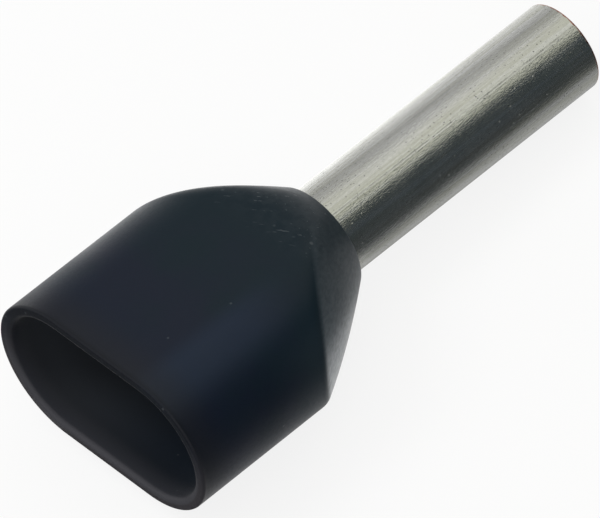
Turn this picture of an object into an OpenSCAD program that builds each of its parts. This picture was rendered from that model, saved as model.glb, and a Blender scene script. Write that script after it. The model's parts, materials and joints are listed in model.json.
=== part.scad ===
// Twin wire ferrule: a moulded collar whose flattened mouth takes two insulated wires
// side by side, and a tinned copper tube that is crimped round their bared ends.
// The part lies as it comes to rest: on the collar's broad face and the tube's tip.

/* [Tube] */
// Outside diameter of the copper tube
tube_d = 2.5; // [1.8:0.1:2.8]
// Wall of the tube
tube_wall = 0.15; // [0.1:0.01:0.3]
// Length of tube that shows past the collar, to be crimped
tube_out = 8.6; // [7:0.1:14]
// Length of tube inside the collar, flared like a trumpet
tube_in = 1.9; // [1.2:0.1:2.4]
// How far the flare widens the tube's radius
flare_rise = 0.35; // [0.1:0.05:0.45]
// Rounding of the tube's cut edge
tip_round = 0.04; // [0.02:0.01:0.08]

/* [Collar] */
// Width of the opening, two insulated wires side by side
entry_w = 6.4; // [5.6:0.1:7.4]
// Thickness of the opening, one insulated wire
entry_t = 3.5; // [3.2:0.1:4.2]
// Depth of the opening before it funnels down to the tube
entry_l = 3.6; // [2:0.1:4]
// Wall round the opening
collar_wall = 0.35; // [0.25:0.05:0.6]
// Length of the collar, mouth to neck
collar_l = 7.4; // [6.6:0.1:9]
// Length of the collar's straight sides, mouth to taper
straight_l = 4.2; // [2.8:0.1:4.6]
// Wall of the collar's neck round the tube
neck_wall = 0.3; // [0.2:0.05:0.5]
// Rounding of the mouth's two edges
lip_round = 0.12; // [0.05:0.01:0.15]
// Rounding of the neck's edge
neck_round = 0.15; // [0.05:0.01:0.2]

/* [Hidden] */
$fn = 96;
arc_steps = 6;
flare_steps = 8;
overshoot = 1; // how far a cutting shape runs past the face that it cuts

tube_r = tube_d / 2;
flare_r = tube_r + flare_rise;

entry_gap = entry_w - entry_t; // between the centres of the opening's round ends
mouth_t = entry_t + 2 * collar_wall;
mouth_w = entry_w + 2 * collar_wall;
neck_r = tube_r + neck_wall;
taper_slope = (mouth_w / 2 - neck_r) / (collar_l - straight_l);
taper_angle = atan(taper_slope);

// Where the tube's rim and its tip lie, as depths from the mouth
tube_start = collar_l - tube_in;
tube_end = collar_l + tube_out;
funnel_slope = (entry_w / 2 - flare_r) / (tube_start - entry_l);

// The broad face ends where the taper has come down to its height, and the part tips
// forward over that end until the tube's tip touches the ground
broad_end = collar_l - (mouth_t / 2 - neck_r) / taper_slope;
rest_tilt = atan((mouth_t / 2 - tube_r) / (tube_end - broad_end));
rest_height = tube_end * sin(rest_tilt) + tube_r * cos(rest_tilt);
low_x = -mouth_t / 2 * sin(rest_tilt);
high_x = tube_end * cos(rest_tilt) + tube_r * sin(rest_tilt);

// Radius of the cone that tapers the collar, at a depth from the mouth
function taper_r(depth) = neck_r + (collar_l - depth) * taper_slope;

// Radius of the funnel's cone, at a depth from the mouth
function funnel_r(depth) = flare_r + (tube_start - depth) * funnel_slope;

// The flare's outside from its rim to the neck, as distances from the axis against depth:
// a parabola that leaves the straight tube with no kink
flare_outline = [
    for (i = [0 : flare_steps])
        let (along = 1 - i / flare_steps)
            [tube_r + flare_rise * pow(along, 2), collar_l - tube_in * along]
];

// Points of an arc round a centre, from one angle to another
function arc(centre, r, from, to) = [
    for (i = [0 : arc_steps])
        let (a = from + (to - from) * i / arc_steps)
            centre + r * [cos(a), sin(a)]
];

// Puts a shape built up the Z axis from the mouth onto the X axis, lying at rest
module laid() {
    translate([-(low_x + high_x) / 2, 0, rest_height])
        rotate([0, 90 + rest_tilt, 0])
            children();
}

// Carries an outline of distance against depth round an obround mouth
module round_mouth() {
    for (side = [0, 1])
        mirror([0, side, 0])
            translate([0, entry_gap / 2, 0])
                rotate_extrude(angle = 180) children();
    rotate([90, 0, 0])
        linear_extrude(entry_gap, center = true) {
            children();
            mirror([1, 0]) children();
        }
}

// Outside of the collar's flattened part, with its mouth edge rounded
module mouth_block() {
    round_mouth()
        polygon(concat(
            [[0, 0]],
            arc([mouth_t / 2 - lip_round, lip_round], lip_round, -90, 0),
            [[mouth_t / 2, collar_l + overshoot], [0, collar_l + overshoot]]
        ));
}

// The cone that tapers the collar down to its round neck
module taper() {
    centre = [
        neck_r + neck_round * (taper_slope - 1 / cos(taper_angle)),
        collar_l - neck_round
    ];
    rotate_extrude()
        polygon(concat(
            [[0, -overshoot], [taper_r(-overshoot), -overshoot]],
            arc(centre, neck_round, taper_angle, 90),
            [[0, collar_l]]
        ));
}

// Space for the wires: a straight opening that a cone closes down to the tube
module wire_space() {
    lip_r = entry_t / 2 + lip_round;
    intersection() {
        round_mouth()
            polygon(concat(
                [[0, -overshoot], [lip_r, -overshoot]],
                arc([lip_r, lip_round], lip_round, 270, 180),
                [[entry_t / 2, tube_start], [0, tube_start]]
            ));
        translate([0, 0, -overshoot])
            cylinder(h = tube_start + overshoot, r1 = funnel_r(-overshoot), r2 = flare_r);
    }
}

// Space for the tube: a seat that follows its flare, open at the neck
module tube_space() {
    rotate_extrude()
        polygon(concat(
            [[0, tube_start]],
            flare_outline,
            [[tube_r, collar_l + overshoot], [0, collar_l + overshoot]]
        ));
}

module collar() {
    color("#23282e")
        laid()
            difference() {
                intersection() {
                    mouth_block();
                    taper();
                }
                wire_space();
                tube_space();
            }
}

module sleeve() {
    bore_outline = [
        for (i = [flare_steps : -1 : 0])
            flare_outline[i] - [tube_wall, 0]
    ];
    color("#c8c8c2")
        laid()
            rotate_extrude()
                polygon(concat(
                    flare_outline,
                    arc([tube_r - tip_round, tube_end - tip_round], tip_round, 0, 90),
                    [[tube_r - tube_wall, tube_end]],
                    bore_outline
                ));
}

collar();
sleeve();
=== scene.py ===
# %% [markdown]
# # A twin wire ferrule
# A twin wire ferrule joins the bared ends of two insulated wires. It has two pieces: a moulded
# plastic collar with a flattened mouth, and a tinned copper tube that a tool crimps round the
# strands. The CAD model holds their sizes. This script gives both pieces their finish: the
# collar's softened creases and satin plastic, and the tube's drawn and plated metal.

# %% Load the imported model
import json
import math

import bpy
import numpy as np
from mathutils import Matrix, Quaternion, Vector


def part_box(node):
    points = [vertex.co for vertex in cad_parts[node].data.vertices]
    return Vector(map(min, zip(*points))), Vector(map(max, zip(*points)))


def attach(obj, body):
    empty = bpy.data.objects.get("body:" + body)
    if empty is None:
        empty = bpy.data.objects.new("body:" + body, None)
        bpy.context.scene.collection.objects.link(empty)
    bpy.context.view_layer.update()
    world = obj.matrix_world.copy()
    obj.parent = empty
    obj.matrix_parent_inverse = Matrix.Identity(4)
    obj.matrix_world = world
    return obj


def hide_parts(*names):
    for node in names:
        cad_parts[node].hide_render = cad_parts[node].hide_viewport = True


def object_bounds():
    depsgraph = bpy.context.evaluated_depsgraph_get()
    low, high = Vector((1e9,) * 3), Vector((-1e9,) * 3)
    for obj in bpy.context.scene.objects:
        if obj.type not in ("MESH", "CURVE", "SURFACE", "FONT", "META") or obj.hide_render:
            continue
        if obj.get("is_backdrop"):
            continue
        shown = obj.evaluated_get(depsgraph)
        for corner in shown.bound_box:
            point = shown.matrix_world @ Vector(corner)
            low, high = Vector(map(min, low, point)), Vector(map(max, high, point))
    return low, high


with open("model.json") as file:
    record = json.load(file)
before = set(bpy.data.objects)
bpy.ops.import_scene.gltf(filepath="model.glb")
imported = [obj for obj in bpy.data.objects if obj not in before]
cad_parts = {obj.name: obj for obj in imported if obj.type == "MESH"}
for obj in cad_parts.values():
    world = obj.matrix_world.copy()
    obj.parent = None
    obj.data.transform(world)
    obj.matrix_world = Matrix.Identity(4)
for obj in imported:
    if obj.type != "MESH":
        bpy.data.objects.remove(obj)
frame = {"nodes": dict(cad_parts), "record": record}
cad_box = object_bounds()

MM = 0.001  # a millimetre, in metres
mounts = {mount["name"]: mount for mount in frame["record"]["mounts"]}
print("nodes", sorted(frame["nodes"]), "mounts", sorted(mounts))

# %% [markdown]
# ## The ferrule's own directions
# The ferrule lies tipped forward, on the end of the collar's broad face and the tip of the tube.
# Shapes and finishes are easier to describe along its own axis, so every point is given as a
# depth from the mouth, a distance across the two wires, and a height above the axis. The packed
# record's mounts say where the mouth is and which way the tube points.

# %% Directions along, across and up
mouth = np.array(mounts["wire_entry"]["pos_m"])
along = np.array(mounts["crimp_barrel"]["axis"])
across = np.array([0.0, 1.0, 0.0])
up = np.cross(along, across)
tilt = math.asin(-along[2])


def placed(depth, side, height):
    """Points in the shared frame: mouth + depth times along + side times across + height times
    up, with all three distances in millimetres."""
    steps = np.stack(np.broadcast_arrays(depth, side, height), axis=-1) * MM
    return mouth + steps @ np.stack([along, across, up])


print(f"the ferrule is tipped forward by {math.degrees(tilt):.2f} degrees")

# %% [markdown]
# ## The camera
# The camera looks down on the ferrule from the side of its mouth, from far away and through a
# long lens, so that the tube hardly shrinks towards its tip. It is turned a little about its own
# line of sight, and it aims beside the middle of the ferrule, which therefore sits a little high
# and to the right. It comes first, because everything else is judged through it.

# %% Camera
view_azimuth = math.radians(-35.93)
view_elevation = math.radians(51.62)
view_roll = math.radians(11.64)
view_distance = 273.92 * MM
off_right = 0.78 * MM  # how far the ferrule's middle lies right of the line of sight
off_up = 1.06 * MM     # and how far above it

flat_reach = math.cos(view_elevation)
backward = Vector((
    math.sin(view_azimuth) * flat_reach,
    -math.cos(view_azimuth) * flat_reach,
    math.sin(view_elevation),
))
turned = (-backward).to_track_quat("-Z", "Y") @ Quaternion((0, 0, 1), -view_roll)
middle = (cad_box[0] + cad_box[1]) / 2
aim = middle - turned @ Vector((off_right, off_up, 0))

camera = bpy.data.objects.new("camera", bpy.data.cameras.new("camera"))
bpy.context.scene.collection.objects.link(camera)
camera.rotation_mode = "QUATERNION"
camera.rotation_quaternion = turned
camera.location = aim + backward * view_distance
camera.data.lens = 672
camera.data.sensor_width = 36
bpy.context.scene.camera = camera
bpy.context.scene.view_settings.view_transform = "Standard"
print("camera at", [round(x / MM, 1) for x in camera.location], "mm")

# %% [markdown]
# ## Surfaces from grids
# Both pieces are rings: a closed outline carried once round the axis. Their points come from
# numpy as a grid of rows along the outline and columns round the axis, and each point is joined
# to its neighbours by a four-sided face. The last row joins the first, and so does the last
# column, so nothing is left open. A modifier could spin an outline round too, but the collar's
# mouth is not round, and a grid lets each column have its own outline.


# %% Mesh from a closed grid
def ring_mesh(name, points):
    """A closed mesh from a grid of points: rows run along the outline and columns round the
    axis. Face (row, column) joins that point with the next in both directions, wrapping round."""
    rows, columns = points.shape[:2]
    index = np.arange(rows * columns).reshape(rows, columns)
    below = np.roll(index, -1, axis=0)
    corners = [index, np.roll(index, -1, axis=1), np.roll(below, -1, axis=1), below]
    faces = np.stack(corners, axis=-1).reshape(-1, 4)
    mesh = bpy.data.meshes.new(name)
    mesh.from_pydata(points.reshape(-1, 3).tolist(), [], faces.tolist())
    mesh.shade_smooth()
    piece = bpy.data.objects.new(name, mesh)
    bpy.context.scene.collection.objects.link(piece)
    return piece


def mark(piece, name, values):
    """Stores one number for each point of a piece, which a material can read by its name."""
    layer = piece.data.attributes.new(name, "FLOAT", "POINT")
    layer.data.foreach_set("value", np.ascontiguousarray(values, dtype=np.float32).ravel())


def volume(piece):
    """Volume in cubic millimetres: the sum over triangles of a · (b × c) / 6, which is positive
    only where the faces point outwards."""
    mesh = piece.data
    mesh.calc_loop_triangles()
    points = np.empty(len(mesh.vertices) * 3)
    mesh.vertices.foreach_get("co", points)
    corners = np.empty(len(mesh.loop_triangles) * 3, dtype=np.int32)
    mesh.loop_triangles.foreach_get("vertices", corners)
    a, b, c = points.reshape(-1, 3)[corners.reshape(-1, 3)].transpose(1, 0, 2) / MM
    return float(np.sum(a * np.cross(b, c)) / 6)


print("mesh helpers", ring_mesh.__name__, mark.__name__, volume.__name__)


# %% Spacing along an outline
def eased(start, end, steps):
    """Values from start up to, not including, end, crowded at both ends: start plus the
    distance times (1 - cos t) / 2, for t from 0 to half a turn."""
    t = np.linspace(0, np.pi, steps, endpoint=False)[:, None]
    return start + (end - start) * (1 - np.cos(t)) / 2


def even(start, end, steps):
    """Values from start up to, not including, end, all the same distance apart."""
    return start + (end - start) * np.linspace(0, 1, steps, endpoint=False)[:, None]


print("four eased steps from 0 to 1:", eased(0, 1, 4).ravel().round(2))

# %% [markdown]
# ## The collar
# The collar is one injection moulding. Its mouth is an oblong that takes two wires side by side,
# and its outside is that oblong carried back until a cone cuts it down to a round neck. Where
# the cone meets the narrow sides there is a crease, and across the broad faces it melts away,
# because the mould's cavity was blended there. A boolean of an extrusion and a cone would give
# the hard version of this. Instead the radius in each direction is the smaller of the two
# shapes' radii, taken with a soft minimum whose softness grows towards the broad faces. The
# mouth's edges, the neck's edge and the tube's seat are arcs of circles in the outline.

# %% Collar sizes in millimetres
tube_radius = mounts["crimp_barrel"]["dims"]["r_mm"]
bore_radius = mounts["wire_bore"]["dims"]["r_mm"]
collar_low, collar_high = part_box("collar")
collar_width = (collar_high.y - collar_low.y) / MM

collar_length = 7.4
straight_length = 4.2     # from the mouth to where the taper first cuts in
collar_thickness = 4.2
wall = 0.35
end_radius = collar_thickness / 2
end_reach = collar_width / 2 - end_radius   # from the axis to the centre of a rounded end
neck_radius = tube_radius + 0.27
lip_radius = 0.08         # rounding of the mouth's outer edge
lip_inside = 0.14         # and of its inner edge
neck_edge = 0.07          # rounding of the neck's outer edge
seat_edge = 0.03          # rounding where the tube comes out of the neck

flare_length = 1.9
flare_rise = 0.35
flare_radius = tube_radius + flare_rise
tube_rim = collar_length - flare_length
opening_depth = 3.6

taper_slope = (collar_width / 2 - neck_radius) / (collar_length - straight_length)
funnel_slope = (collar_width / 2 - wall - flare_radius) / (tube_rim - opening_depth)
taper_bulge = 0.10        # the taper's flanks swell a little between corner and neck
side_softness = 0.05      # how softly the taper meets the narrow sides
broad_softness = 0.40     # and the broad faces
flank_fade = 0.12         # how far past the crease a flank's mark takes to reach 1
never = 10.0              # a radius that is never the smaller of two
print(f"mouth {collar_width:.2f} x {collar_thickness} mm, tube {2 * tube_radius} mm across")


# %% Collar shapes
def oblong(angle, radius):
    """Distance from the axis to the edge of the oblong in a direction: radius / sin(angle) on the
    flat faces, and on the rounded ends the far crossing with a circle whose centre is end_reach
    to the side, reach cos(angle) + sqrt(radius² - reach² sin²(angle))."""
    cosine = np.abs(np.cos(angle))
    sine = np.maximum(np.abs(np.sin(angle)), 1e-9)
    on_end = end_reach * cosine + np.sqrt(np.maximum(radius**2 - (end_reach * sine) ** 2, 0))
    return np.where(radius * cosine <= end_reach * sine, radius / sine, on_end)


def taper(depth):
    """Radius of the cone outside: the neck's radius plus the slope times the distance before the
    neck, plus a swelling that is greatest half way down the taper and nothing at its ends."""
    share = np.clip((depth - straight_length) / (collar_length - straight_length), 0, 1)
    swelling = taper_bulge * 4 * share * (1 - share)
    return neck_radius + taper_slope * (collar_length - depth) + swelling


def funnel(depth):
    """Radius of the cone inside, which leads the strands into the tube's flared rim."""
    return flare_radius + funnel_slope * (tube_rim - depth)


def flare(depth):
    """Outside radius of the tube's trumpet flare: it grows with the square of the distance from
    the neck, and is the plain tube beyond it."""
    share = np.clip((collar_length - depth) / flare_length, 0, 1)
    return tube_radius + flare_rise * share**2


def soft_minimum(first, second, softness):
    """The smaller of two values, rounded off where they differ by less than the softness: minus
    (softness - difference)² / (4 softness)."""
    overlap = np.maximum(softness - np.abs(first - second), 0)
    return np.minimum(first, second) - overlap**2 / (4 * softness)


print(f"the taper is {taper(straight_length):.2f} mm in radius where it starts")

# %% Collar surface
def collar_surface(columns=360):
    """The collar's points, and two marks for each: 1 inside the mouth, and up to 1 on the taper's
    narrow sides. Each section of the outline gives, row by row, a depth, the radius of the
    oblong's rounded ends and the radius of the cone, and the surface is the soft minimum of the
    two. The rows crowd towards the creases, which lie at another depth in each column."""
    angle = np.linspace(0, 2 * np.pi, columns, endpoint=False)[None, :]
    softness = side_softness + (broad_softness - side_softness) * np.sin(angle) ** 2
    outside = end_radius
    inside = end_radius - wall
    crease = collar_length - (oblong(angle, outside) - neck_radius) / taper_slope
    inner_crease = tube_rim - (oblong(angle, inside) - flare_radius) / funnel_slope

    lean = math.atan(taper_slope)
    neck_centre = neck_radius + neck_edge * (taper_slope - 1 / math.cos(lean))
    taper_end = collar_length - neck_edge * (1 - math.sin(lean))
    quarter = np.pi / 2

    turn = even(2 * quarter, quarter, 4)
    sections = [(
        collar_length - seat_edge + seat_edge * np.sin(turn),
        never,
        tube_radius + seat_edge + seat_edge * np.cos(turn),
    )]
    sections.append((collar_length, never, even(tube_radius + seat_edge, neck_centre, 4)))
    turn = even(quarter, lean, 8)
    sections.append((
        collar_length - neck_edge + neck_edge * np.sin(turn),
        never,
        neck_centre + neck_edge * np.cos(turn),
    ))
    depth = eased(taper_end, crease, 56)
    sections.append((depth, outside, taper(depth)))
    depth = eased(crease, lip_radius, 52)
    sections.append((depth, outside, taper(depth)))
    turn = even(0, quarter, 12)
    lip_depth = lip_radius * (1 - np.sin(turn))
    sections.append((lip_depth, outside - lip_radius * (1 - np.cos(turn)), never))
    sections.append((0.0, even(outside - lip_radius, inside + lip_inside, 4), never))
    outer_sections = len(sections)
    turn = even(quarter, 0, 12)
    lip_depth = lip_inside * (1 - np.sin(turn))
    sections.append((lip_depth, inside + lip_inside * (1 - np.cos(turn)), never))
    depth = eased(lip_inside, inner_crease, 36)
    sections.append((depth, inside, funnel(depth)))
    depth = eased(inner_crease, tube_rim, 26)
    sections.append((depth, inside, funnel(depth)))
    depth = even(tube_rim, collar_length - seat_edge, 12)
    sections.append((depth, never, flare(depth)))

    rows = []
    for number, (depth, round_radius, cone_radius) in enumerate(sections):
        wide = oblong(angle, np.asarray(round_radius))
        radius = soft_minimum(wide, cone_radius, softness)
        hollow = float(number >= outer_sections)
        cut_away = np.clip((wide - cone_radius) / flank_fade, 0, 1)
        flank = (1 - hollow) * cut_away * np.cos(angle) ** 2
        rows.append(np.stack(np.broadcast_arrays(depth, radius, angle, hollow, flank), axis=-1))
    depth, radius, angle, hollow, flank = np.concatenate(rows)[::-1].transpose(2, 0, 1)
    return placed(depth, radius * np.cos(angle), radius * np.sin(angle)), hollow, flank


collar_points, hollow, flank = collar_surface()
collar = ring_mesh("collar_moulding", collar_points)
mark(collar, "hollow", hollow)
mark(collar, "flank", flank)
print(f"collar {len(collar.data.polygons)} faces, {volume(collar):.1f} cubic mm")

# %% [markdown]
# ## The tube
# The tube is drawn copper, cut to length, tumbled and plated with tin. Its inner end is flared
# into the collar, so that strands can't catch on it. A surface of revolution is the whole shape:
# the outline goes out along the wall, round the cut edge, and back down the bore.

# %% Tube surface
tube_wall = tube_radius - bore_radius
tube_end = collar_length + 8.6
tip_edge = 0.04           # rounding of the cut edge outside
bore_edge = 0.02          # and inside


def tube_surface(columns=256):
    """The tube's points: at each row of the outline a depth and a radius, turned round the axis.
    The cut edge's corners are quarter circles, and the bore is the outside less the wall."""
    angle = np.linspace(0, 2 * np.pi, columns, endpoint=False)[None, :]
    quarter = np.pi / 2
    flared = eased(tube_rim, collar_length, 24)
    straight = eased(collar_length, tube_end - tip_edge, 60)
    outer_turn = even(0, quarter, 8)
    inner_turn = even(quarter, 2 * quarter, 6)
    outer_corner = tube_radius - tip_edge
    inner_corner = tube_radius - tube_wall + bore_edge
    back = eased(tube_end - bore_edge, collar_length, 60)
    rim = even(flare_radius - tube_wall, flare_radius, 4)
    outer_depth = tube_end - tip_edge * (1 - np.sin(outer_turn))
    inner_depth = tube_end - bore_edge * (1 - np.sin(inner_turn))
    outline = [
        (flared, flare(flared)),
        (straight, tube_radius),
        (outer_depth, outer_corner + tip_edge * np.cos(outer_turn)),
        (tube_end, even(outer_corner, inner_corner, 3)),
        (inner_depth, inner_corner + bore_edge * np.cos(inner_turn)),
        (back, tube_radius - tube_wall),
        (flared[::-1], flare(flared[::-1]) - tube_wall),
        (tube_rim, rim[1:]),
    ]
    rows = [np.stack(np.broadcast_arrays(depth, radius), axis=-1) for depth, radius in outline]
    depth, radius = np.concatenate(rows).transpose(2, 0, 1)
    return placed(depth, radius * np.cos(angle), radius * np.sin(angle))


tube = ring_mesh("copper_tube", tube_surface())
print(f"tube {len(tube.data.polygons)} faces, {volume(tube):.1f} cubic mm")

# %% [markdown]
# ## Building materials from nodes
# A finish is a network of nodes, which could be drawn by hand in the shader editor. In code it
# can be repeated and read from top to bottom. One helper adds a node and fills in its sockets,
# where a value may be a number or another node's output, and the others name common nodes.


# %% Node helpers
def add(tree, kind, inputs=None, **settings):
    """Adds a node of a kind, with its settings and its input sockets filled in or linked."""
    made = tree.nodes.new(kind)
    for setting, value in settings.items():
        setattr(made, setting, value)
    for socket, value in (inputs or {}).items():
        if isinstance(value, bpy.types.NodeSocket):
            tree.links.new(value, made.inputs[socket])
        else:
            made.inputs[socket].default_value = value
    return made


def times(tree, first, second):
    """The product of two values."""
    return add(tree, "ShaderNodeMath", {0: first, 1: second}, operation="MULTIPLY").outputs[0]


def plus(tree, first, second):
    """The sum of two values."""
    return add(tree, "ShaderNodeMath", {0: first, 1: second}, operation="ADD").outputs[0]


def mixed(tree, share, first, second):
    """A colour between two colours: the first where the share is 0, the second where it is 1."""
    made = add(tree, "ShaderNodeMix", data_type="RGBA")
    for place, value in ((0, share), (6, first), (7, second)):
        if isinstance(value, bpy.types.NodeSocket):
            tree.links.new(value, made.inputs[place])
        else:
            made.inputs[place].default_value = value
    return made.outputs[2]


def ramp(tree, value, low, high, start=0.0, end=1.0):
    """A smooth step: start below low, end above high, and an eased slope between them."""
    sockets = {"Value": value, "From Min": low, "From Max": high, "To Min": start, "To Max": end}
    made = add(tree, "ShaderNodeMapRange", sockets, interpolation_type="SMOOTHSTEP")
    return made.outputs[0]


print("node helpers", *(helper.__name__ for helper in (add, times, plus, mixed, ramp)))


# %% [markdown]
# ## Groups and materials
# A group is a small network with named inputs and outputs, which a material places as one node
# with values of its own. An effect that both finishes need is built once, as a group.


# %% Group and material helpers
def new_group(name, inputs, outputs):
    """An empty shader node group with named sockets. Returns its tree, input node and output
    node."""
    tree = bpy.data.node_groups.new(name, "ShaderNodeTree")
    for label, (kind, value) in inputs.items():
        socket = tree.interface.new_socket(label, in_out="INPUT", socket_type=kind)
        if value is not None:
            socket.default_value = value
    for label, kind in outputs.items():
        tree.interface.new_socket(label, in_out="OUTPUT", socket_type=kind)
    return tree, tree.nodes.new("NodeGroupInput"), tree.nodes.new("NodeGroupOutput")


def place_group(tree, group, inputs):
    """Places a group in a material, with its own values."""
    made = tree.nodes.new("ShaderNodeGroup")
    made.node_tree = group
    for socket, value in inputs.items():
        if isinstance(value, bpy.types.NodeSocket):
            tree.links.new(value, made.inputs[socket])
        else:
            made.inputs[socket].default_value = value
    return made


def new_material(name):
    """A material with nothing in it but its output."""
    made = bpy.data.materials.new(name)
    made.use_nodes = True
    made.node_tree.nodes.clear()
    output = made.node_tree.nodes.new("ShaderNodeOutputMaterial")
    return made, made.node_tree, output


FLOAT = "NodeSocketFloat"
VECTOR = "NodeSocketVector"
print("groups take sockets of", FLOAT, "and", VECTOR)

# %% [markdown]
# ## Effects that both finishes share
# Three things are found on both pieces. Cloudy patches are places where handling or plating has
# left the surface a little unlike its neighbour: a noise with its middle values stretched. Specks
# are dust on the plastic and pits in the tin: a Voronoi texture has one point in each cell, and
# a share of the cells is chosen at random. Hairlines run along the tube where it was drawn, and
# across the collar where it has rubbed on other parts in the bag: a noise that is drawn out in
# one direction. Each is a group that puts out a mask from 0 to 1, and works in millimetres.

# %% Group: cloudy patches
clouds, given, result = new_group(
    "cloudy patches",
    {"Vector": (VECTOR, None), "Size": (FLOAT, 1.0), "Contrast": (FLOAT, 0.2)},
    {"Mask": FLOAT},
)
scale = add(clouds, "ShaderNodeMath", {0: 1.0, 1: given.outputs["Size"]}, operation="DIVIDE")
patches = add(clouds, "ShaderNodeTexNoise", {
    "Vector": given.outputs["Vector"],
    "Scale": scale.outputs[0],
    "Detail": 3.0,
    "Roughness": 0.55,
})
half = given.outputs["Contrast"]
lowest = add(clouds, "ShaderNodeMath", {0: 0.5, 1: half}, operation="SUBTRACT").outputs[0]
mask = ramp(clouds, patches.outputs[0], lowest, plus(clouds, half, 0.5))
clouds.links.new(mask, result.inputs["Mask"])
print("group", clouds.name, "takes", [item.name for item in given.outputs if item.name])

# %% Group: specks
specks, given, result = new_group(
    "specks",
    {
        "Vector": (VECTOR, None),
        "Spacing": (FLOAT, 0.2),
        "Size": (FLOAT, 0.15),
        "Share": (FLOAT, 0.3),
    },
    {"Mask": FLOAT},
)
scale = add(specks, "ShaderNodeMath", {0: 1.0, 1: given.outputs["Spacing"]}, operation="DIVIDE")
cells = add(specks, "ShaderNodeTexVoronoi", {
    "Vector": given.outputs["Vector"],
    "Scale": scale.outputs[0],
    "Randomness": 1.0,
})
dot_edge = times(specks, given.outputs["Size"], 0.4)
dots = ramp(specks, cells.outputs["Distance"], dot_edge, given.outputs["Size"], 1.0, 0.0)
chance = add(specks, "ShaderNodeSeparateColor", {"Color": cells.outputs["Color"]})
chosen = add(
    specks,
    "ShaderNodeMath",
    {0: chance.outputs[0], 1: given.outputs["Share"]},
    operation="LESS_THAN",
)
specks.links.new(times(specks, dots, chosen.outputs[0]), result.inputs["Mask"])
print("group", specks.name, "takes", [item.name for item in given.outputs if item.name])

# %% Group: hairlines
hairlines, given, result = new_group(
    "hairlines",
    {
        "Vector": (VECTOR, None),
        "Width": (FLOAT, 0.05),
        "Length": (FLOAT, 3.0),
        "Level": (FLOAT, 0.5),
        "Softness": (FLOAT, 0.1),
    },
    {"Mask": FLOAT},
)
parts = add(hairlines, "ShaderNodeSeparateXYZ", {"Vector": given.outputs["Vector"]})


def divided(socket, size):
    """A coordinate counted in steps of a size."""
    return add(hairlines, "ShaderNodeMath", {0: socket, 1: size}, operation="DIVIDE").outputs[0]


stretched = add(hairlines, "ShaderNodeCombineXYZ", {
    "X": divided(parts.outputs["X"], given.outputs["Length"]),
    "Y": divided(parts.outputs["Y"], given.outputs["Width"]),
    "Z": divided(parts.outputs["Z"], given.outputs["Width"]),
})
lines = add(hairlines, "ShaderNodeTexNoise", {
    "Vector": stretched.outputs[0],
    "Scale": 1.0,
    "Detail": 3.0,
    "Roughness": 0.6,
})
level = given.outputs["Level"]
lowest = add(
    hairlines,
    "ShaderNodeMath",
    {0: level, 1: given.outputs["Softness"]},
    operation="SUBTRACT",
)
highest = plus(hairlines, level, given.outputs["Softness"])
mask = ramp(hairlines, lines.outputs[0], lowest.outputs[0], highest)
hairlines.links.new(mask, result.inputs["Mask"])
print("group", hairlines.name, "takes", [item.name for item in given.outputs if item.name])

# %% [markdown]
# ## Coordinates along the ferrule
# Object coordinates are metres in the shared frame. A Mapping node turns them by the tilt and
# counts them in millimetres, so that X is the depth from the mouth, Y runs across and Z up.
# Patterns can then be stretched along the tube, and placed at the neck or at the tip.


# %% Ferrule coordinates
def ferrule_coordinates(tree):
    """Object coordinates turned to the ferrule's axis, in millimetres from the mouth."""
    position = tree.nodes.new("ShaderNodeTexCoord").outputs["Object"]
    mapping = add(tree, "ShaderNodeMapping", {"Vector": position})
    mapping.inputs["Scale"].default_value = (1 / MM, 1 / MM, 1 / MM)
    mapping.inputs["Rotation"].default_value = (0, -tilt, 0)
    mapping.inputs["Location"].default_value = (-mouth @ along / MM, 0, -mouth @ up / MM)
    return mapping.outputs[0]


print(f"patterns start {-mouth @ along / MM:.2f} mm back along the axis, at the mouth")


# %% [markdown]
# ## The collar's plastic
# The collar is polypropylene, coloured right through with a blue-black pigment. The pigment
# isn't quite even: it leans to blue at the mouth and to green at the neck, with cloudy patches
# between. Two more colours are painted light: a bluish painted highlight on one shoulder, and a
# paler grey inside the mouth, painted light that grows towards the far wire. A picture could be
# wrapped round the collar, but it would stretch at the creases, so each colour is mixed in by
# where a point lies in the ferrule's own directions.

# %% Collar plastic
plastic, tree, output = new_material("navy_black_plastic")
place = ferrule_coordinates(tree)
depth, side, above_axis = add(tree, "ShaderNodeSeparateXYZ", {"Vector": place}).outputs

cloud = place_group(tree, clouds, {"Vector": place, "Size": 1.8, "Contrast": 0.2})
drift = plus(tree, depth, times(tree, cloud.outputs[0], 2.5))
drift = ramp(tree, drift, 2.0, 6.5)
colour = mixed(tree, drift, (0.0040, 0.0080, 0.0195, 1), (0.0022, 0.0106, 0.0172, 1))

hollow_mark = add(tree, "ShaderNodeAttribute", attribute_name="hollow").outputs["Fac"]
# Painted light: the inside of the mouth is painted a paler grey, paler still towards the far
# wire, standing in for the light that reaches into it.
inside = times(tree, hollow_mark, ramp(tree, depth, 0.0, 0.5))
grey = ramp(tree, side, -1.5, 2.4)
painted_inner_light = mixed(tree, grey, (0.013, 0.018, 0.026, 1), (0.032, 0.036, 0.043, 1))
colour = mixed(tree, inside, colour, painted_inner_light)

# Painted highlight: a bluish sheen on the near shoulder, painted into the colour.
shoulder_highlight = times(tree, ramp(tree, side, -3.0, -2.2), ramp(tree, side, -1.8, -1.1, 1.0, 0.0))
shoulder_highlight = times(tree, shoulder_highlight, ramp(tree, above_axis, 0.5, 1.5))
shoulder_highlight = times(tree, shoulder_highlight, ramp(tree, depth, 2.8, 5.2, 1.0, 0.0))
colour = mixed(tree, shoulder_highlight, colour, (0.0075, 0.0155, 0.0330, 1))
print(plastic.name, "has its colours after", len(tree.nodes), "nodes")
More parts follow.
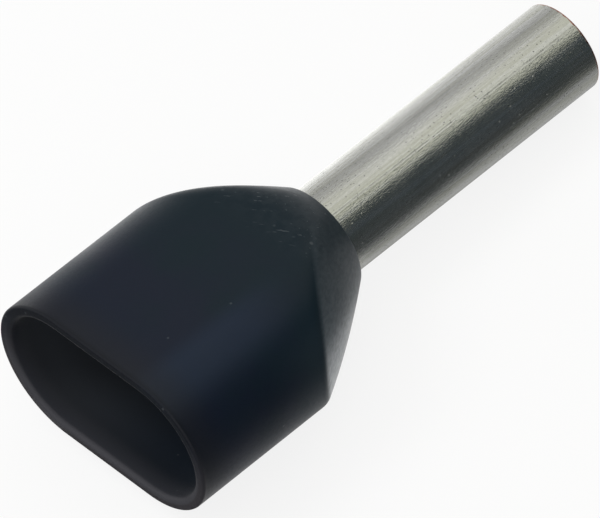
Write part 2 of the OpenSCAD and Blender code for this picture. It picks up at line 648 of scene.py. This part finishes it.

# %% [markdown]
# ## Wear, and painted light and shade, on the plastic
# Ferrules are sold loose in bags of hundreds and rub on each other. The rim of the mouth goes
# grey first, and then the flanks of the taper, which stand out to the sides. Light and shade are
# painted in here too: the lower lip and the lower inside of the mouth are painted paler, which is
# painted light, and the top lip darker, which is painted shade. The flanks are painted paler most
# towards their lower edge, partly scuffing and partly a painted highlight. Rubbing also polishes
# the flanks, so the same mark gives them a thin glossy coat in the shader. The wear could be
# painted by hand. Here it follows the depth from the mouth and the mark that the mesh carries on
# its flanks, so it stays where the form puts it, and hairlines break it into streaks.

# %% Worn rim, with painted light and shade on the lips
faded = ramp(tree, depth, 0.0, 1.3, 0.55, 0.0)
colour = mixed(tree, faded, colour, (0.011, 0.011, 0.0125, 1))
lip = ramp(tree, depth, 0.02, 0.20, 1.0, 0.0)
# Painted light and shade: the lower lip is painted paler and the top lip darker, by how light
# falls on them.
low = ramp(tree, above_axis, -1.0, 1.3, 0.62, 0.0)
high = ramp(tree, above_axis, 0.6, 1.6, 0.0, 0.55)
colour = mixed(tree, times(tree, lip, low), colour, (0.050, 0.045, 0.049, 1))
colour = mixed(tree, times(tree, lip, high), colour, (0.002, 0.003, 0.005, 1))
# Painted light: the lower inside of the mouth, just past the lip, is painted paler.
inner_lip_painted_light = times(tree, hollow_mark, ramp(tree, depth, 0.08, 0.75, 0.50, 0.0))
inner_lip_painted_light = times(tree, inner_lip_painted_light, ramp(tree, above_axis, -1.0, 0.8, 1.0, 0.0))
colour = mixed(tree, inner_lip_painted_light, colour, (0.058, 0.060, 0.070, 1))
print(plastic.name, "has its rim after", len(tree.nodes), "nodes")

# %% Scuffed flanks, with a painted highlight
flank_mark = add(tree, "ShaderNodeAttribute", attribute_name="flank").outputs["Fac"]
scuff = place_group(tree, hairlines, {
    "Vector": place,
    "Width": 0.10,
    "Length": 1.2,
    "Level": 0.5,
    "Softness": 0.25,
})
# Partly scuffing, partly painted highlight: the flanks are painted paler, more towards their
# lower edge, where grazing light brightens them.
flank_scuff_and_highlight = plus(tree, times(tree, scuff.outputs[0], 0.35), 0.65)
flank_scuff_and_highlight = times(tree, times(tree, flank_scuff_and_highlight, flank_mark), ramp(tree, depth, 4.2, 7.2, 0.80, 0.26))
flank_scuff_and_highlight = times(tree, flank_scuff_and_highlight, ramp(tree, above_axis, -0.4, 1.1, 1.0, 0.60))
apart = add(tree, "ShaderNodeMath", {0: side}, operation="ABSOLUTE").outputs[0]
# A band along the narrow sides is painted paler too, partly scuffing and partly painted light.
side_scuff_and_light = times(tree, ramp(tree, depth, 2.4, 4.6, 0.0, 0.07), ramp(tree, apart, 2.6, 3.3))
colour = mixed(tree, plus(tree, flank_scuff_and_highlight, side_scuff_and_light), colour, (0.120, 0.150, 0.176, 1))
rubbed = plus(tree, times(tree, scuff.outputs[0], 0.4), 0.55)
rubbed = times(tree, times(tree, rubbed, flank_mark), ramp(tree, depth, 4.2, 7.4, 1.0, 0.6))
print(plastic.name, "has its flanks after", len(tree.nodes), "nodes")

# %% [markdown]
# ## Dust and scratches on the plastic
# Dust lies anywhere. By the neck there are also pale flecks and short scratches, because the
# ends of other ferrules knock against the plastic there, and a faint paler haze. They could be
# small pieces of mesh, but they are thinner than a hair, so the shared groups place them as
# marks.

# %% Dust, flecks, scratches and a pale haze
dust = place_group(tree, specks, {"Vector": place, "Spacing": 0.30, "Size": 0.15, "Share": 0.045})
near_neck = ramp(tree, depth, 5.0, 6.4)
above = ramp(tree, flank_mark, 0.0, 0.6, 1.0, 0.0)
fleck = place_group(tree, specks, {"Vector": place, "Spacing": 0.24, "Size": 0.29, "Share": 0.14})
flecks = times(tree, times(tree, fleck.outputs[0], near_neck), above)

crosswise = add(tree, "ShaderNodeMapping", {"Vector": place})
crosswise.inputs["Rotation"].default_value = (0.1, 0.1, 0.95)
rub = place_group(tree, hairlines, {
    "Vector": crosswise.outputs[0],
    "Width": 0.075,
    "Length": 0.9,
    "Level": 0.69,
    "Softness": 0.03,
})
scratch = times(tree, times(tree, rub.outputs[0], near_neck), above)
marks = plus(tree, times(tree, dust.outputs[0], 0.20), times(tree, flecks, 0.30))
marks = plus(tree, marks, times(tree, scratch, 0.45))
# A faint paler haze, in cloudy patches, near the neck.
pale_haze = place_group(tree, clouds, {"Vector": place, "Size": 0.24, "Contrast": 0.10})
pale_haze = times(tree, times(tree, pale_haze.outputs[0], near_neck), 0.035)
marks = plus(tree, marks, pale_haze)
colour = mixed(tree, marks, colour, (0.16, 0.18, 0.19, 1))
print(plastic.name, "has its marks after", len(tree.nodes), "nodes")

# %% [markdown]
# ## The plastic's grain and gloss
# The mould was finely blasted, so the collar is satin: dark where it faces anything dark, and
# pale at grazing angles. The shader's own Fresnel and a little sheen give that paleness, and on
# the rubbed flanks a coat adds to it. The grain, the slow ripples where the melt flowed and the
# marks go into one height, which a Bump node turns into shading. They are a few thousandths of a
# millimetre high, too little to model.

# %% The plastic's grain and shader
grain = add(tree, "ShaderNodeTexNoise", {"Vector": place, "Scale": 14.0, "Detail": 4.0})
ripple = add(tree, "ShaderNodeTexNoise", {"Vector": place, "Scale": 1.3, "Detail": 2.0})
uneven = plus(tree, grain.outputs[0], times(tree, cloud.outputs[0], 0.3))
roughness = ramp(tree, uneven, 0.3, 1.0, 0.42, 0.52)
height = plus(tree, grain.outputs[0], times(tree, ripple.outputs[0], 2.0))
height = plus(tree, height, times(tree, marks, 6.0))
bump = add(tree, "ShaderNodeBump", {"Height": height, "Distance": 0.0015 * MM, "Strength": 1.0})

shader = add(tree, "ShaderNodeBsdfPrincipled", {
    "Base Color": colour,
    "Roughness": roughness,
    "IOR": 1.45,
    "Specular IOR Level": 0.215,
    "Sheen Weight": 0.09,
    "Sheen Roughness": 0.30,
    "Coat Weight": rubbed,
    "Coat Roughness": 0.32,
    "Coat IOR": 1.6,
    "Normal": bump.outputs[0],
})
tree.links.new(shader.outputs[0], output.inputs["Surface"])
print(plastic.name, "is whole, with", len(tree.nodes), "nodes")

# %% [markdown]
# ## The tube's tin
# Tin is a soft white metal with a warm cast. The tube was drawn through a die before it was
# plated, which leaves lines along it, and they matter most: they break the edge between a bright
# and a dark reflection into streaks. One noise would look the same in every direction. Three
# sets of hairlines don't: the broad ones shift the tint from white to straw, the narrow ones are
# the drawing, and the shortest ones are the crystals of the plating.

# %% Streaks of tin
tin, tree, output = new_material("tinned_copper")
place = ferrule_coordinates(tree)
depth = add(tree, "ShaderNodeSeparateXYZ", {"Vector": place}).outputs["X"]

streak = place_group(tree, hairlines, {
    "Vector": place,
    "Width": 0.14,
    "Length": 7.0,
    "Level": 0.5,
    "Softness": 0.14,
})
colour = mixed(tree, streak.outputs[0], (0.56, 0.565, 0.55, 1), (0.47, 0.475, 0.425, 1))
drawn = place_group(tree, hairlines, {
    "Vector": place,
    "Width": 0.05,
    "Length": 3.0,
    "Level": 0.5,
    "Softness": 0.25,
})
colour = mixed(tree, times(tree, drawn.outputs[0], 0.22), colour, (0.36, 0.36, 0.31, 1))
fine = place_group(tree, hairlines, {
    "Vector": place,
    "Width": 0.035,
    "Length": 0.11,
    "Level": 0.5,
    "Softness": 0.22,
})
colour = mixed(tree, times(tree, fine.outputs[0], 0.30), colour, (0.33, 0.33, 0.30, 1))
print(tin.name, "has its streaks after", len(tree.nodes), "nodes")

# %% [markdown]
# ## Die lines
# A nick in the die scores the same line along the whole tube, always at one turn round it. Noise
# can't do that. Seen along the axis such a line is a point on a circle, so a Mapping node drops
# the depth, and the line is where the distance from that point is small. A slow noise lets it
# fade in and out, as the tin fills it in places.

# %% Die lines
flat = add(tree, "ShaderNodeMapping", {"Vector": place})
flat.inputs["Scale"].default_value = (0, 1, 1)


def die_line(turn, width):
    """A thin line along the whole tube, at a turn in degrees from its near side: 1 on the line
    and 0 where the distance from it, seen along the axis, is more than the width."""
    turn = math.radians(turn)
    spot = (0, -tube_radius * math.cos(turn), tube_radius * math.sin(turn))
    away = add(tree, "ShaderNodeVectorMath", {0: flat.outputs[0], 1: spot}, operation="DISTANCE")
    return ramp(tree, away.outputs["Value"], 0.3 * width, width, 1.0, 0.0)


faint = add(tree, "ShaderNodeTexNoise", {"Vector": place, "Scale": 1.6, "Detail": 3.0})
faint = ramp(tree, faint.outputs[0], 0.35, 0.62, 0.15, 1.0)
scored = plus(tree, die_line(66.5, 0.030), times(tree, die_line(63.0, 0.028), 0.6))
scored = plus(tree, scored, times(tree, die_line(101.0, 0.05), 0.4))
scored = times(tree, scored, faint)
colour = mixed(tree, times(tree, scored, 0.38), colour, (0.13, 0.13, 0.11, 1))
print(tin.name, "has its die lines after", len(tree.nodes), "nodes")

# %% [markdown]
# ## Pits and bare copper
# The tubes were tumbled before they were plated, which leaves pits, gathered in patches, and a
# few wider dents. Where a tube was cut, the tin is thin at the corner and copper shows through.
# The depth along the tube says where that is, and a fine noise makes its border ragged.

# %% Pits and bare copper
cloud = place_group(tree, clouds, {"Vector": place, "Size": 0.7, "Contrast": 0.09})
gathered = plus(tree, times(tree, cloud.outputs[0], 0.60), 0.40)
pit = place_group(tree, specks, {"Vector": place, "Spacing": 0.07, "Size": 0.31, "Share": 0.34})
pits = times(tree, pit.outputs[0], gathered)
colour = mixed(tree, times(tree, pits, 0.8), colour, (0.06, 0.06, 0.055, 1))
dent = place_group(tree, specks, {"Vector": place, "Spacing": 0.12, "Size": 0.22, "Share": 0.08})

ragged = add(tree, "ShaderNodeTexNoise", {"Vector": place, "Scale": 9.0, "Detail": 2.0})
worn_from = plus(tree, times(tree, ragged.outputs[0], -0.07), tube_end - 0.02)
past = add(tree, "ShaderNodeMath", {0: depth, 1: worn_from}, operation="SUBTRACT").outputs[0]
bare = ramp(tree, past, 0.0, 0.012)
colour = mixed(tree, bare, colour, (0.30, 0.13, 0.09, 1))
print(tin.name, "has its pits and copper after", len(tree.nodes), "nodes")

# %% [markdown]
# ## The tin's grain and gloss
# The same masks that tint the tin also raise or sink it, so that a line that looks dark is a
# groove as well. A metal needs no more than its colour, a roughness and a normal. It is rough
# enough to blur what it mirrors, and never so smooth that it looks like chrome.

# %% The tin's grain and shader
roughness = ramp(tree, plus(tree, drawn.outputs[0], cloud.outputs[0]), 0.0, 2.0, 0.21, 0.27)
height = plus(tree, times(tree, drawn.outputs[0], 0.6), times(tree, fine.outputs[0], 1.2))
height = plus(tree, height, times(tree, pits, -1.5))
height = plus(tree, height, times(tree, dent.outputs[0], -3.0))
height = plus(tree, height, times(tree, scored, -0.8))
bump = add(tree, "ShaderNodeBump", {"Height": height, "Distance": 0.002 * MM, "Strength": 1.0})

shader = add(tree, "ShaderNodeBsdfPrincipled", {
    "Base Color": colour,
    "Metallic": 1.0,
    "Roughness": roughness,
    "Normal": bump.outputs[0],
})
tree.links.new(shader.outputs[0], output.inputs["Surface"])
print(tin.name, "is whole, with", len(tree.nodes), "nodes")

# %% [markdown]
# ## Dressing the CAD model
# Each new piece rides on the body, takes its finish and hides the CAD solid that it stands in
# for.
# The solids stay where they are for the simulation, and aren't shown.

# %% Ride and replace
for piece, node_name, slot, finish in (
    (collar, "collar", "collar_plastic", plastic),
    (tube, "sleeve", "tinned_copper", tin),
):
    piece.data.materials.append(finish)
    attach(piece, "root")
    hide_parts(node_name)
    low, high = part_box(node_name)
    print(piece.name, "stands for", node_name, [round(x / MM, 2) for x in (*low, *high)])

# %% [markdown]
# ## The floor
# The floor is a plain pale sheet. A white picture could be had by pouring light on it, but that
# would wash out the ferrule too. So to the camera, and in what metal and plastic mirror, it is
# mostly white by itself, which a Light Path node arranges, and the rest is a plain diffuse
# surface that takes the light and the ferrule's shadow. Seen from below it is clear.

# %% Floor
floor_reach = 400 * MM
white_share = 0.85        # how much of the floor's look is its own white


def sheet_object(name, points, index):
    """A staged object with no thickness: its points, and the corner numbers of its faces."""
    mesh = bpy.data.meshes.new(name)
    mesh.from_pydata(points.reshape(-1, 3).tolist(), [], index.reshape(-1, 4).tolist())
    sheet = bpy.data.objects.new(name, mesh)
    bpy.context.scene.collection.objects.link(sheet)
    sheet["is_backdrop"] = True
    return sheet


def seen_or_mirrored(tree):
    """1 for rays from the camera and rays that a glossy or a clear surface sends on, and 0 for
    the rays that light the scene."""
    path = tree.nodes.new("ShaderNodeLightPath")
    found = plus(tree, path.outputs["Is Camera Ray"], path.outputs["Is Glossy Ray"])
    found = plus(tree, found, path.outputs["Is Transmission Ray"])
    return add(tree, "ShaderNodeMath", {0: found, 1: 1.0}, operation="MINIMUM").outputs[0]


square = np.array([[-1, -1, 0], [1, -1, 0], [1, 1, 0], [-1, 1, 0]])
floor = sheet_object("floor", square * floor_reach, np.arange(4))
paper, tree, output = new_material("white_paper")
matt = add(tree, "ShaderNodeBsdfDiffuse", {"Color": (0.90, 0.90, 0.90, 1)})
glow = add(tree, "ShaderNodeEmission", {"Color": (1, 1, 1, 1), "Strength": 1.0})
share = times(tree, seen_or_mirrored(tree), white_share)
both = add(tree, "ShaderNodeMixShader", {0: share, 1: matt.outputs[0], 2: glow.outputs[0]})
clear = tree.nodes.new("ShaderNodeBsdfTransparent")
behind = tree.nodes.new("ShaderNodeNewGeometry").outputs["Backfacing"]
sided = add(tree, "ShaderNodeMixShader", {0: behind, 1: both.outputs[0], 2: clear.outputs[0]})
tree.links.new(sided.outputs[0], output.inputs["Surface"])
floor.data.materials.append(paper)
print(f"floor {2 * floor_reach / MM:.0f} mm wide, {white_share:.0%} of it white by itself")

# %% [markdown]
# ## The light
# The studio is a white room, with one soft lamp above and beyond the ferrule's far side. The
# room's fill is a little below full white, which keeps the dark plastic dark. A small hard lamp
# would put a glint on the plastic and a hard shadow on the floor, and there is neither here. The
# soft lamp lights the surfaces but isn't mirrored in them, or a thin glint would run along the
# rounded edge of the mouth.

# %% Room
room = bpy.data.worlds.new("white_room")
room.use_nodes = True
bpy.context.scene.world = room
tree = room.node_tree
tree.nodes.clear()
output = tree.nodes.new("ShaderNodeOutputWorld")
fill = add(tree, "ShaderNodeBackground", {"Color": (1, 1, 1, 1), "Strength": 0.9})
white = add(tree, "ShaderNodeBackground", {"Color": (1, 1, 1, 1), "Strength": 1.0})
sockets = {0: seen_or_mirrored(tree), 1: fill.outputs[0], 2: white.outputs[0]}
both = add(tree, "ShaderNodeMixShader", sockets)
tree.links.new(both.outputs[0], output.inputs["Surface"])
print("room fill", fill.inputs["Strength"].default_value)

# %% Soft lamp
lamp_direction = Vector((-0.35, 0.40, 0.85)).normalized()
lamp_distance = 300 * MM
lamp = bpy.data.objects.new("soft_lamp", bpy.data.lights.new("soft_lamp", "AREA"))
lamp.data.shape = "SQUARE"
lamp.data.size = 120 * MM
lamp.data.energy = 0.22
lamp.location = lamp_direction * lamp_distance
lamp.rotation_mode = "QUATERNION"
lamp.rotation_quaternion = lamp_direction.to_track_quat("Z", "X")
lamp.visible_camera = False
lamp.visible_glossy = False
bpy.context.scene.collection.objects.link(lamp)
print(f"lamp {lamp.data.size / MM:.0f} mm across, {lamp.location.length / MM:.0f} mm away")

# %% [markdown]
# ## Cards beside the tube
# A bright tube in a white room would be white all over, so a photographer stands cards beside
# it, which it mirrors. These are sheets curved round the ferrule's line, so that each strip of
# tube mirrors one strip of card. From the floor on the near side upwards, a black card gives the
# tube its dark band, a warm one the straw-coloured band next to it, a pale one the brightest
# band, and a grey one the dull stripe before the far edge. A small card close to the tip widens
# the dark band there, because what is near slides along a mirror faster than what is far away.
# The camera sees none of them, and the small one shows in reflections only.


# %% Curved cards
def glowing(name, colour):
    """A material that gives out one colour, whatever light falls on it."""
    finish, tree, output = new_material(name)
    glow = add(tree, "ShaderNodeEmission", {"Color": colour, "Strength": 1.0})
    tree.links.new(glow.outputs[0], output.inputs["Surface"])
    return finish, tree, glow


def only_mirrored(sheet):
    """Hides a sheet from every ray but the ones that a glossy surface sends on."""
    for ray in ("camera", "diffuse", "transmission", "shadow"):
        setattr(sheet, "visible_" + ray, False)


def curved_card(name, turn_from, turn_to, colour, radius=140, ends=(-30, 150), steps=24):
    """A curved card beside the ferrule: points at a radius from its line, for turns in degrees
    that start at the floor on the near side and go up and over, from end to end of the card."""
    turn = np.radians(np.linspace(turn_from, turn_to, steps))[:, None]
    end = np.array(ends)[None, :]
    side = -radius * np.cos(turn)
    height = radius * np.sin(turn)
    points = np.stack(np.broadcast_arrays(end, side, height), axis=-1) * MM
    index = np.arange(2 * steps).reshape(steps, 2)
    corners = [index[:-1, 0], index[1:, 0], index[1:, 1], index[:-1, 1]]
    made = sheet_object(name, points, np.stack(corners, axis=-1))
    made.visible_camera = False
    made.data.materials.append(glowing(name, colour)[0])
    return made


blue_black = (0.063, 0.078, 0.089, 1)
curved_card("black_card", 0, 57, blue_black)
curved_card("warm_card", 57, 84, (0.97, 0.98, 0.88, 1))
curved_card("pale_card", 84, 116, (1.06, 1.06, 1.00, 1))
curved_card("grey_card", 122, 165, (0.60, 0.60, 0.60, 1))
near_card = curved_card("near_card", 50, 62, blue_black, radius=22, ends=(13.0, 45))
only_mirrored(near_card)

# %% [markdown]
# ## A card beyond the tip and a mask on the floor
# A grey card closes the room beyond the tip, for the faces that look that way. The floor mirrors
# in both pieces too, and where it is left white it lights their lower sides from below. A mask
# lies on it that only reflections see: dark out in the room, so that the tube's dark band runs
# on below the horizon, and paler close to the ferrule, more so beside the collar than beside the
# tube. It has no pale part before the mouth or past the tip, and one bright spot by the neck.

# %% Card beyond the tip
corners = np.array([[150, -140, 0], [150, 45, 0], [150, 45, 95], [150, -140, 95]])
tip_card = sheet_object("tip_card", corners * MM, np.arange(4))
tip_card.visible_camera = False
tip_card.data.materials.append(glowing("tip_card", (0.34, 0.36, 0.37, 1))[0])
print("tip card", round(tip_card.dimensions.z / MM), "mm high")

# %% Mask on the floor
sheet_lift = 0.02  # millimetres that a sheet on the floor lies above it
outline = [[-60, -145], [150, -145], [150, 45], [9, 2], [-8.5, 2], [-8.5, 12], [-60, 30]]
corners = np.pad(np.array(outline, dtype=float), ((0, 0), (0, 1)), constant_values=sheet_lift)
mesh = bpy.data.meshes.new("floor_mask")
mesh.from_pydata((corners * MM).tolist(), [], [list(range(len(outline)))])
floor_mask = bpy.data.objects.new("floor_mask", mesh)
bpy.context.scene.collection.objects.link(floor_mask)
floor_mask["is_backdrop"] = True
only_mirrored(floor_mask)

finish, tree, glow = glowing("floor_mask", (1, 1, 1, 1))
position = tree.nodes.new("ShaderNodeTexCoord").outputs["Object"]
mapping = add(tree, "ShaderNodeMapping", {"Vector": position})
mapping.inputs["Scale"].default_value = (1 / MM, 1 / MM, 1 / MM)
floor_place = add(tree, "ShaderNodeSeparateXYZ", {"Vector": mapping.outputs[0]})
floor_x = floor_place.outputs["X"]
floor_y = floor_place.outputs["Y"]
by_tube = ramp(tree, floor_y, -4.6, -1.0, 0.0, 0.57)
by_tube = times(tree, by_tube, ramp(tree, floor_y, -1.5, -0.3, 1.0, 0.66))
by_collar = ramp(tree, floor_y, -11.0, -1.0, 0.0, 0.95)
beside = mixed(tree, ramp(tree, floor_x, -2.5, 1.0), by_collar, by_tube)
before = ramp(tree, floor_x, -8.3, -7.3)
beyond = ramp(tree, floor_x, 8.0, 13.0, 1.0, 0.0)
open_share = times(tree, times(tree, beside, before), beyond)
by_neck = {0: mapping.outputs[0], 1: (-1.4, -2.8, 0)}
spot = add(tree, "ShaderNodeVectorMath", by_neck, operation="DISTANCE")
bright = ramp(tree, spot.outputs["Value"], 0.4, 2.5, 0.6, 0.0)
masked = (0.069, 0.077, 0.080, 1)
colour = mixed(tree, plus(tree, open_share, bright), masked, (1, 1, 1, 1))
tree.links.new(colour, glow.inputs["Color"])
floor_mask.data.materials.append(finish)
print("floor mask", len(outline), "corners,", len(tree.nodes), "nodes")

# %% [markdown]
# ## A pool of light behind the ferrule
# The far edge of the tube is brightest by the neck. It mirrors the floor behind the ferrule, so
# a sheet lies there that glows more strongly at that end, and again only reflections see it.

# %% Pool of light
corners = np.array([[-3, 2.2], [40, 2.2], [40, 120], [-3, 120]])
corners = np.pad(corners, ((0, 0), (0, 1)), constant_values=sheet_lift)
light_pool = sheet_object("light_pool", corners * MM, np.arange(4))
only_mirrored(light_pool)
finish, tree, glow = glowing("light_pool", (1, 1, 1, 1))
position = tree.nodes.new("ShaderNodeTexCoord").outputs["Object"]
pool_x = add(tree, "ShaderNodeSeparateXYZ", {"Vector": position}).outputs["X"]
strength = ramp(tree, pool_x, 1.0 * MM, 14.0 * MM, 1.7, 1.0)
tree.links.new(strength, glow.inputs["Strength"])
light_pool.data.materials.append(finish)
print("light pool", round(light_pool.dimensions.x / MM), "mm long")

# %% [markdown]
# ## Sizes side by side
# The boxes of the CAD model and of the finished model are written side by side, so that anyone
# can see that the dressing changes the ferrule's size by a few thousandths of a millimetre only.

# %% Sizes
boxes = {"cad_box": cad_box, "visual_box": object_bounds()}
sizes = {name: [list(corner) for corner in box] for name, box in boxes.items()}
for name, box in sizes.items():
    print(name, [[round(x / MM, 3) for x in corner] for corner in box], "mm")
